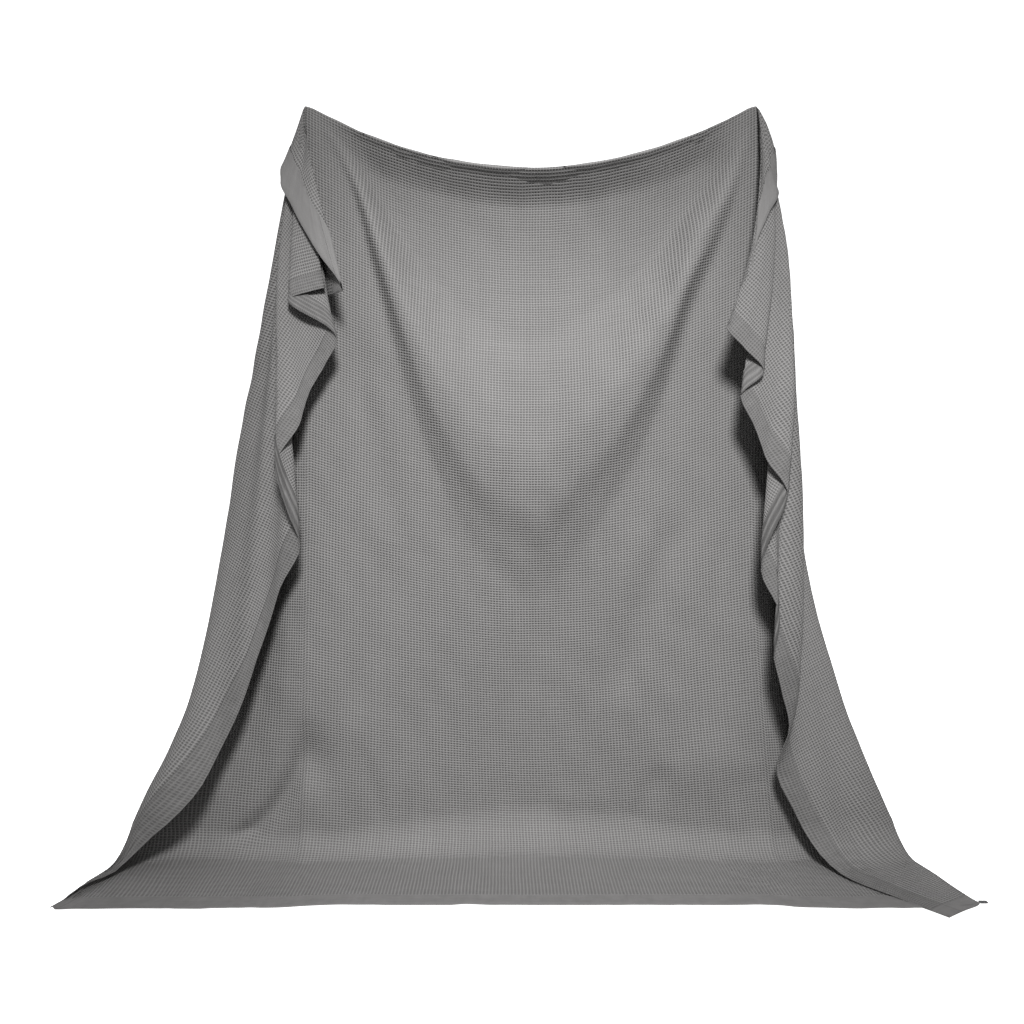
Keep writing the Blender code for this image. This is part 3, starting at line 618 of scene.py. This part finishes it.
def rows_of_rays(rays, rows_of_points):
    """All points and their places on the flat cloth, and each ray's row of point numbers."""
    held = np.array([0.0] + panel_shares() + [1.0])
    start = {share: k for k, share in enumerate(held)}
    points = [np.stack([LEFT_PIN_X + (RIGHT_PIN_X - LEFT_PIN_X) * held, np.zeros(len(held)),
                        PIN_HEIGHT - TOP_SAG * sag_share(held)], axis=-1)]
    places = [np.stack([PIN_U[-1] + PANEL_WIDTH * held, np.full(len(held), FOLDED_OVER)], axis=-1)]
    rows = []
    count = len(held)
    for (part, key, _, place, _), made in zip(rays, rows_of_points):
        origin = {-1: 0.0, 1: 1.0}.get(part, float(key[0]))
        rows.append([start[origin]] + list(range(count, count + len(made))))
        points.append(made)
        places.append(place)
        count += len(made)
    return np.vstack(points), np.vstack(places), rows


def hem_layer(points, places, normals, rows, rays):
    """The layer turned under all round the cloth: its points, their places and its faces."""
    hem_rows = []
    extra_points = []
    extra_places = []
    count = len(points)
    for row, (_, _, _, place, in_hem) in zip(rows, rays):
        made, beyond = turned_hem(points, normals, row, in_hem, place)
        hem_rows.append([row[-1]] + list(range(count, count + len(made))))
        extra_points += made
        extra_places.append(beyond)
        count += len(made)
    faces = []
    for row, after in zip(hem_rows, hem_rows[1:] + hem_rows[:1]):
        for k in range(len(row) - 1):
            faces.append((row[k], row[k + 1], after[k + 1]))
            faces.append((row[k], after[k + 1], after[k]))
    return np.vstack([points, extra_points]), np.vstack([places] + extra_places), faces


def blanket():
    """The whole sheet. Its rays run left fan, back, right fan, front, so it faces the viewer."""
    rays = sheet_rays()
    points, places, rows = rows_of_rays(rays, sheet_points(rays))
    faces = []
    for row, after in zip(rows, rows[1:] + rows[:1]):
        faces += [face for face in strip_faces(row, after) if len(set(face)) == 3]
    faces = np.array(faces)
    normals = vertex_normals(points, faces)
    wrinkles = small_wrinkles(places) * eased(0.0, WRINKLES_FROM, from_pins(places))
    points = points + normals * wrinkles[:, None]
    points[:, 2] -= PEAK_ROUNDING * np.exp(-(from_pins(places) / PEAK_WIDTH) ** 2)
    points[:, 2] = np.maximum(points[:, 2], 0.0) + OFF_FLOOR
    normals = vertex_normals(points, faces)
    points, places, hem_faces = hem_layer(points, places, normals, rows, rays)
    points[:, 2] = np.maximum(points[:, 2], LOWEST)
    faces = np.vstack([faces, hem_faces])
    return sheet_object("blanket_cloth", points - np.array((STAND_X, STAND_Y, 0.0)), faces, places)


def from_pins(places):
    """Distance on the flat cloth to the nearer held point."""
    left, right = (np.hypot(places[:, 0] - PIN_U[side], places[:, 1] - FOLDED_OVER) for side in (-1, 1))
    return np.minimum(left, right)


def smooth_mesh(name, points, faces):
    mesh = bpy.data.meshes.new(name)
    mesh.from_pydata(points, [], faces)
    mesh.shade_smooth()
    return mesh


def placed(name, data):
    """A new object of the scene that shows a mesh, a light or a camera."""
    made = bpy.data.objects.new(name, data)
    bpy.context.scene.collection.objects.link(made)
    return made


def sheet_object(name, points, faces, places):
    """The object of the sheet, with the flat cloth as its map."""
    mesh = smooth_mesh(name, points.tolist(), faces.tolist())
    mesh.validate()
    layer = mesh.uv_layers.new(name="cloth")
    corner_vertex = np.empty(len(mesh.loops), dtype=np.int64)
    mesh.loops.foreach_get("vertex_index", corner_vertex)
    layer.data.foreach_set("uv", ((places + MAP_MARGIN) / MAP_SIZE)[corner_vertex].ravel())
    return placed(name, mesh)


# ------------------------------------------------------------------ materials
class Nodes:
    """Short ways of adding nodes to a material's tree."""

    def __init__(self, material):
        self.tree = material.node_tree
        self.shader = self.tree.nodes["Principled BSDF"]

    def add(self, kind, **settings):
        node = self.tree.nodes.new(kind)
        for name, value in settings.items():
            setattr(node, name, value)
        return node

    def feed(self, socket, value):
        if isinstance(value, bpy.types.NodeSocket):
            self.tree.links.new(value, socket)
        else:
            socket.default_value = value

    def math(self, operation, *values, clamp=False):
        node = self.add("ShaderNodeMath", operation=operation, use_clamp=clamp)
        for socket, value in zip(node.inputs, values):
            self.feed(socket, value)
        return node.outputs[0]

    def step(self, value, low, high):
        """0 below low, 1 above high, smooth between them."""
        node = self.add("ShaderNodeMapRange", interpolation_type="SMOOTHSTEP")
        for name, number in (("Value", value), ("From Min", low), ("From Max", high)):
            self.feed(node.inputs[name], number)
        return node.outputs["Result"]

    def noise(self, vector, scale, detail=2.0, roughness=0.5):
        node = self.add("ShaderNodeTexNoise")
        self.feed(node.inputs["Vector"], vector)
        self.feed(node.inputs["Scale"], scale)
        self.feed(node.inputs["Detail"], detail)
        self.feed(node.inputs["Roughness"], roughness)
        return node.outputs["Fac"]

    def vector(self, x, y, z=0.0):
        node = self.add("ShaderNodeCombineXYZ")
        for socket, value in zip(node.inputs, (x, y, z)):
            self.feed(socket, value)
        return node.outputs[0]

    def mix_colour(self, share, one, other):
        node = self.add("ShaderNodeMix", data_type="RGBA")
        self.feed(node.inputs["Factor"], share)
        for socket, value in zip([s for s in node.inputs if s.type == "RGBA"], (one, other)):
            self.feed(socket, value)
        return [s for s in node.outputs if s.type == "RGBA"][0]


def new_material(name):
    made = bpy.data.materials.new(name)
    made.use_nodes = True
    return made


def waffle_cotton():
    """Square waffle cells with threads, hems and stitched seams, all in metres of the flat cloth."""
    made = new_material("waffle_cotton")
    n = Nodes(made)
    place = n.add("ShaderNodeUVMap", uv_map="cloth").outputs[0]
    split = n.add("ShaderNodeSeparateXYZ")
    n.feed(split.inputs[0], place)
    u = n.math("MULTIPLY_ADD", split.outputs[0], MAP_SIZE, -MAP_MARGIN)
    v = n.math("MULTIPLY_ADD", split.outputs[1], MAP_SIZE, -MAP_MARGIN)
    metres = n.vector(u, v)

    # Threads wander a little, so the cells aren't ruled.
    drift_u = n.math("MULTIPLY_ADD", n.noise(metres, 9.0), DRIFT_ACROSS, -DRIFT_ACROSS / 2)
    drift_v = n.math("MULTIPLY_ADD", n.noise(n.vector(v, u), 7.0), DRIFT_ALONG, -DRIFT_ALONG / 2)
    across = n.math("MULTIPLY", n.math("ADD", u, drift_u), math.pi / CELL_ACROSS)
    along = n.math("MULTIPLY", n.math("ADD", v, drift_v), math.pi / CELL_ALONG)
    pit_across = n.math("ABSOLUTE", n.math("SINE", across))
    pit_along = n.math("ABSOLUTE", n.math("SINE", along))
    pit = n.math("MULTIPLY", pit_across, pit_along)

    # The hems: smooth plain weave at both ends, pressed waffle along the sides.
    from_side = n.math("MINIMUM", u, n.math("SUBTRACT", CLOTH_WIDTH, u))
    from_end = n.math("MINIMUM", v, n.math("SUBTRACT", CLOTH_LENGTH, v))
    side_body = n.step(from_side, SIDE_HEM - HEM_SOFT, SIDE_HEM + HEM_SOFT)
    end_body = n.step(from_end, END_HEM - HEM_SOFT, END_HEM + HEM_SOFT)
    body = n.math("MULTIPLY", side_body, end_body)
    side_depth = n.math("MULTIPLY_ADD", side_body, 1 - PRESSED, PRESSED)
    pit = n.math("MULTIPLY", pit, n.math("MULTIPLY", side_depth, end_body))

    # Grooves of the two hem seams, and their stitches.
    def seam(distance, at):
        groove = n.math("ABSOLUTE", n.math("SUBTRACT", distance, at))
        return n.math("SUBTRACT", 1.0, n.step(groove, *SEAM_SOFT))

    side_seam = seam(from_side, SIDE_HEM)
    end_seam = n.math("MULTIPLY", seam(from_end, END_HEM), n.step(from_side, 0.0, 0.002))
    stitch_v = n.math("ABSOLUTE", n.math("SINE", n.math("MULTIPLY", v, math.pi / STITCH)))
    stitch_u = n.math("ABSOLUTE", n.math("SINE", n.math("MULTIPLY", u, math.pi / STITCH)))
    seams = n.math("MAXIMUM", n.math("MULTIPLY", side_seam, n.math("MULTIPLY_ADD", stitch_v, 0.5, 0.5)),
                   n.math("MULTIPLY", end_seam, n.math("MULTIPLY_ADD", stitch_u, 0.5, 0.5)))

    # Yarns: fine threads both ways, and rows that differ a little from each other.
    thread_u = n.math("SINE", n.math("MULTIPLY", u, 2 * math.pi / THREAD_ACROSS))
    thread_v = n.math("SINE", n.math("MULTIPLY", v, 2 * math.pi / THREAD_ALONG))
    threads = n.math("MULTIPLY", thread_u, thread_v)
    rows = n.noise(n.vector(n.math("MULTIPLY", u, 3.0), n.math("MULTIPLY", v, 130.0)), 1.0, 3.0, 0.7)
    cords = n.noise(n.vector(n.math("MULTIPLY", u, 110.0), n.math("MULTIPLY", v, 2.5)), 1.0, 2.0, 0.6)
    patches = n.noise(metres, 3.2, 3.0, 0.55)
    fuzz = n.noise(metres, 900.0, 2.0, 0.6)

    hem = n.math("SUBTRACT", 1.0, body)
    # Painted light and shade of the hems' soft wrinkles, as blotches of lighter and darker tone.
    wrinkle_shading = n.math("SUBTRACT", n.noise(metres, 38.0, 2.0, 0.6), 0.5)
    # Painted shade: each pit is darkened towards its middle, as though in shadow.
    tone = n.math("MULTIPLY_ADD", pit, -PIT_PAINTED_SHADE, RIDGE_TONE)
    for pattern, change in ((rows, ROWS_VARY), (cords, CORDS_VARY),
                            (patches, PATCHES_VARY), (fuzz, FUZZ_VARY)):
        tone = n.math("MULTIPLY", tone, n.math("MULTIPLY_ADD", pattern, change, 1 - change / 2))
    # The seams' darkening is painted shade in their grooves.
    for pattern, change in ((seams, -SEAM_PAINTED_SHADE), (hem, -HEM_DARKER),
                            (n.math("MULTIPLY", hem, wrinkle_shading), HEM_WRINKLE_SHADING)):
        tone = n.math("MULTIPLY", tone, n.math("MULTIPLY_ADD", pattern, change, 1.0))
    grey = n.vector(tone, tone, tone)
    tint = n.add("ShaderNodeMix", data_type="RGBA", blend_type="MULTIPLY")
    tint.inputs["Factor"].default_value = 1.0
    colours = [s for s in tint.inputs if s.type == "RGBA"]
    colours[0].default_value = COTTON_GREY
    n.feed(colours[1], grey)
    n.feed(n.shader.inputs["Base Color"], [s for s in tint.outputs if s.type == "RGBA"][0])

    height = n.math("MULTIPLY", pit, -PIT_DEPTH)
    for pattern, raised in ((threads, THREAD_HEIGHT), (fuzz, FUZZ_HEIGHT),
                            (seams, -SEAM_DEPTH), (body, -HEM_RAISED)):
        height = n.math("MULTIPLY_ADD", pattern, raised, height)
    bump = n.add("ShaderNodeBump")
    bump.inputs["Strength"].default_value = 1.0
    bump.inputs["Distance"].default_value = 1.0
    n.feed(bump.inputs["Height"], height)
    n.feed(n.shader.inputs["Normal"], bump.outputs[0])
    n.shader.inputs["Roughness"].default_value = 0.92
    n.shader.inputs["Specular IOR Level"].default_value = 0.25
    return made


def black_tape():
    """Matte black tape with a fine diagonal weave."""
    made = new_material("black_tape")
    n = Nodes(made)
    place = n.add("ShaderNodeTexCoord").outputs["Object"]
    wave = n.add("ShaderNodeTexWave", wave_type="BANDS", bands_direction="DIAGONAL")
    n.feed(wave.inputs["Vector"], place)
    n.feed(wave.inputs["Scale"], 420.0)
    n.feed(n.shader.inputs["Base Color"],
           n.mix_colour(wave.outputs["Fac"], BLACK_DARK, BLACK_LIGHT))
    bump = n.add("ShaderNodeBump")
    bump.inputs["Strength"].default_value = 0.5
    bump.inputs["Distance"].default_value = 0.0003
    n.feed(bump.inputs["Height"], wave.outputs["Fac"])
    n.feed(n.shader.inputs["Normal"], bump.outputs[0])
    n.shader.inputs["Roughness"].default_value = 0.6
    return made


def label_tab():
    """A short length of tape, folded double at its outer end and sewn to the hem's end."""
    low, high = (np.array(tuple(corner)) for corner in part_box("label_tab"))
    size = high - low
    radius = size[2] / 2 - TAPE_ROOM
    length = size[0] - radius
    there = [(length * k / TAB_STEPS, radius) for k in range(TAB_STEPS + 1)]
    fold = []
    for k in range(1, TAB_STEPS):
        angle = math.pi / 2 - math.pi * k / TAB_STEPS
        fold.append((length + radius * math.cos(angle), radius * math.sin(angle)))
    back = [(x, -z) for x, z in reversed(there)]
    profile = there + fold + back
    middle = (low[2] + high[2]) / 2
    points = [(low[0] + x, low[1] + size[1] * j / TAB_STEPS, middle + z)
              for j in range(TAB_STEPS + 1) for x, z in profile]
    rows = len(profile)
    faces = [(a, a + 1, a + rows + 1, a + rows)
             for j in range(TAB_STEPS) for a in range(j * rows, (j + 1) * rows - 1)]
    return placed("label_tape", smooth_mesh("label_tape", points, faces))


# ------------------------------------------------------------------ pieces
cloth = blanket()
cloth.data.materials.append(waffle_cotton())
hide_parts("blanket")
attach(cloth, "root")

tape = label_tab()
tape.data.materials.append(black_tape())
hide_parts("label_tab")
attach(tape, "root")


# ------------------------------------------------------------------ floor, light and camera
FLOOR_FRONT = -9.0
FLOOR_HALF_WIDTH = 9.0
COVE_STARTS = 3.0
COVE_RADIUS = 1.5
COVE_STEPS = 12
COVE_TOP = 8.0
WALL_RADIUS = 8.8
WALL_STEP = 5                 # degrees round it from edge to edge
WALL_HEIGHTS = (-0.02, 12.0)
PAPER_GLOW = 1.2


def studio_paper():
    made = new_material("studio_paper")
    n = Nodes(made)
    n.shader.inputs["Base Color"].default_value = (0.90, 0.90, 0.90, 1.0)
    n.shader.inputs["Roughness"].default_value = 0.9
    n.shader.inputs["Specular IOR Level"].default_value = 0.1
    n.shader.inputs["Emission Color"].default_value = (1.0, 1.0, 1.0, 1.0)
    n.shader.inputs["Emission Strength"].default_value = PAPER_GLOW
    made.cycles.emission_sampling = "NONE"
    return made


def paper_piece(name, points, faces, paper):
    """A sheet of studio paper, which shows white but sends no light to the cloth."""
    made = placed(name, smooth_mesh(name, points, faces))
    made.data.materials.append(paper)
    made.visible_diffuse = False
    return made


def studio():
    """A floor that curves up into a wall behind the blanket, and a round wall about both."""
    paper = studio_paper()
    profile = [(FLOOR_FRONT, 0.0), (COVE_STARTS, 0.0)]
    for k in range(1, COVE_STEPS + 1):
        angle = math.pi / 2 * k / COVE_STEPS
        profile.append((COVE_STARTS + COVE_RADIUS * math.sin(angle), COVE_RADIUS * (1 - math.cos(angle))))
    profile.append((COVE_STARTS + COVE_RADIUS, COVE_TOP))
    points = [(x, y, z) for y, z in profile for x in (-FLOOR_HALF_WIDTH, FLOOR_HALF_WIDTH)]
    faces = [(2 * k, 2 * k + 1, 2 * k + 3, 2 * k + 2) for k in range(len(profile) - 1)]
    floor = paper_piece("floor", points, faces, paper)

    ring = [math.radians(angle) for angle in range(0, 360, WALL_STEP)]
    points = [(WALL_RADIUS * math.cos(a), WALL_RADIUS * math.sin(a), z) for a in ring for z in WALL_HEIGHTS]
    count = len(points)
    faces = [(k, (k + 2) % count, (k + 3) % count, k + 1) for k in range(0, count, 2)]
    wall = paper_piece("paper_wall", points, faces, paper)
    wall.visible_shadow = False


def lamp(name, kind, place, aim, power):
    """A new light at a place, aimed at another one. Power in watts."""
    made = placed(name, bpy.data.lights.new(name, kind))
    made.data.energy = power
    made.location = place
    made.rotation_euler = (Vector(aim) - Vector(place)).to_track_quat("-Z", "Y").to_euler()
    return made


def key_light():
    """A soft light from above the viewer, which falls off towards the sides."""
    made = lamp("key", "SPOT", place=(0.25, -4.3, 4.4), aim=(0.06, 0.0, 1.05), power=2200.0)
    made.data.spot_size = math.radians(34.0)
    made.data.spot_blend = 1.0
    made.data.shadow_soft_size = 0.55


def back_light():
    """A large soft lamp behind the blanket, so that its back isn't dark."""
    made = lamp("back", "AREA", place=(0.0, 4.0, 2.2), aim=(0.0, 0.0, 1.0), power=110.0)
    made.data.shape = "RECTANGLE"
    made.data.size = 2.6
    made.data.size_y = 1.6
    made.visible_camera = False


def soft_surroundings():
    """Even light from all round above the floor, and little from below it."""
    world = bpy.data.worlds.new("studio")
    world.use_nodes = True
    tree = world.node_tree
    background = tree.nodes["Background"]
    place = tree.nodes.new("ShaderNodeTexCoord")
    split = tree.nodes.new("ShaderNodeSeparateXYZ")
    rise = tree.nodes.new("ShaderNodeMapRange")
    rise.interpolation_type = "SMOOTHSTEP"
    for name, value in (("From Min", -0.10), ("From Max", 0.25), ("To Min", 0.10), ("To Max", 0.42)):
        rise.inputs[name].default_value = value
    tree.links.new(place.outputs["Generated"], split.inputs[0])
    tree.links.new(split.outputs["Z"], rise.inputs["Value"])
    tree.links.new(rise.outputs["Result"], background.inputs["Strength"])
    background.inputs["Color"].default_value = (1.0, 1.0, 1.0, 1.0)
    bpy.context.scene.world = world


PICTURE_WIDTH = 1024          # pixels
FOCAL_PIXELS = 1045.0         # the photo's focal length, in the same pixels
HORIZON_ABOVE_MIDDLE = 70     # pixels
SENSOR_WIDTH = 36.0           # millimetres
EYE_DISTANCE = 2.94           # from the plane in which the panel hangs
EYE_HEIGHT = 1.184


def camera():
    data = bpy.data.cameras.new("camera")
    data.sensor_width = SENSOR_WIDTH
    data.lens = FOCAL_PIXELS / PICTURE_WIDTH * SENSOR_WIDTH
    made = placed("camera", data)
    made.location = (-STAND_X, -EYE_DISTANCE - STAND_Y, EYE_HEIGHT)
    made.rotation_euler = (math.pi / 2 - math.atan(HORIZON_ABOVE_MIDDLE / FOCAL_PIXELS), 0, 0)
    bpy.context.scene.camera = made


studio()
key_light()
back_light()
soft_surroundings()
bpy.context.scene.view_settings.view_transform = "Standard"
camera()
